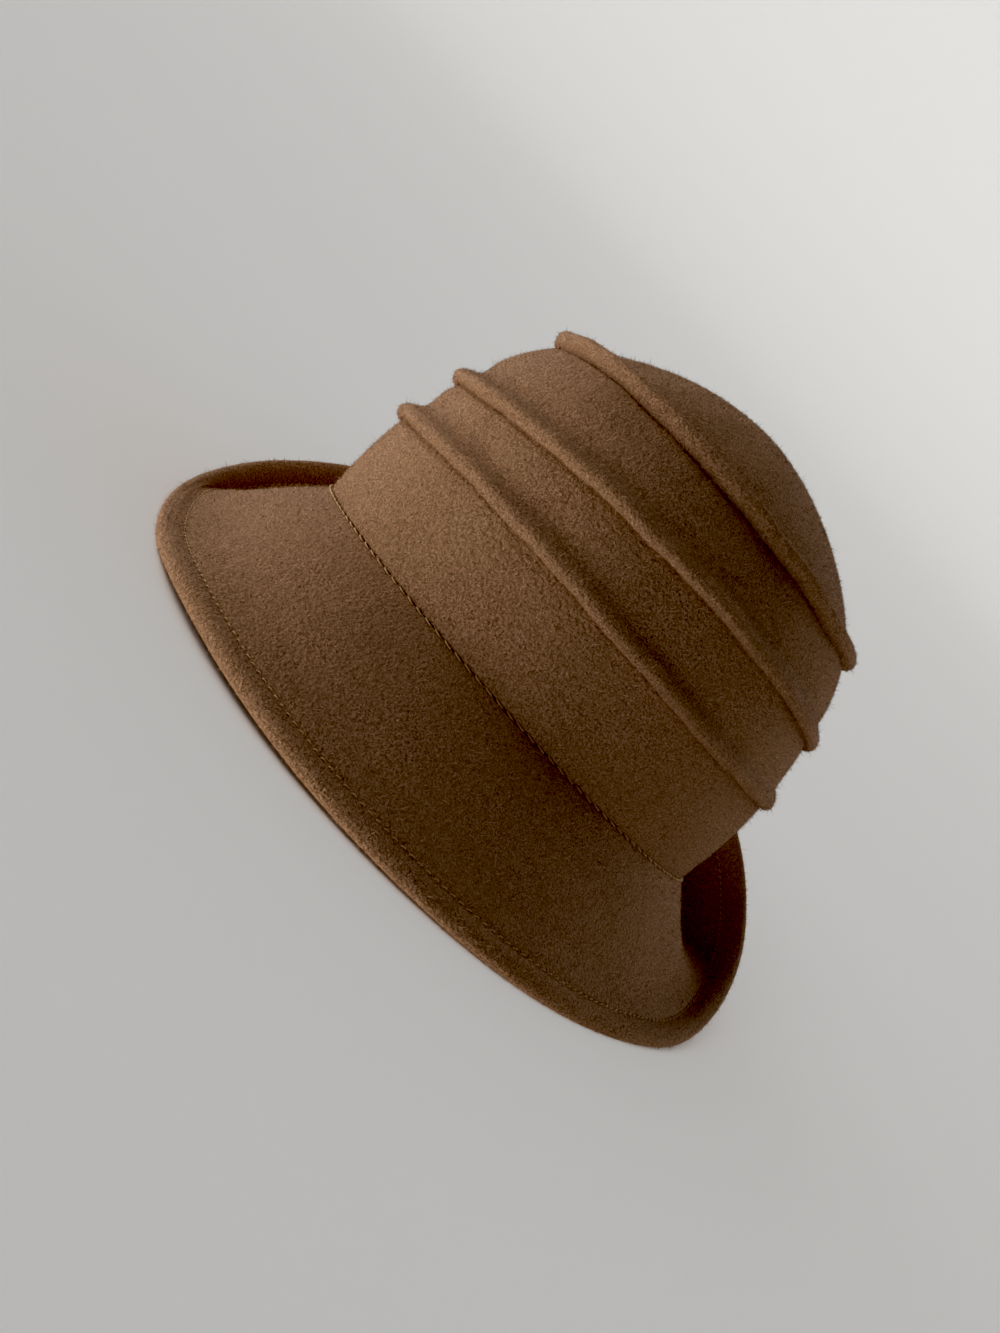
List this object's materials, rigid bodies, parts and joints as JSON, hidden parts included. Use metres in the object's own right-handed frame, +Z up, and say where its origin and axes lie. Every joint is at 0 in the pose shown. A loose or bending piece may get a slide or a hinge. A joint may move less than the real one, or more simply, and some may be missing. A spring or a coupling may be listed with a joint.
{
  "type": "cloche hat",
  "caption": "Felt cloche hat: domed crown with pintucks sewn round it, over a separate hemmed brim that falls at the front and turns up behind.",
  "frame": {"origin": "on the ground under the middle of the hat's box, as the hat rests by itself", "axes": "+Z up, front of the hat towards -Y, the hat's long way along Y, +X to the right of someone facing its front"},
  "size_m": [0.2416, 0.2852, 0.1468],
  "materials": {
    "wool_felt": "brushed wool felt, matt with a short soft nap"
  },
  "bodies": {
    "root": {"crown": "wool_felt", "brim": "wool_felt"}
  },
  "joints": []
}
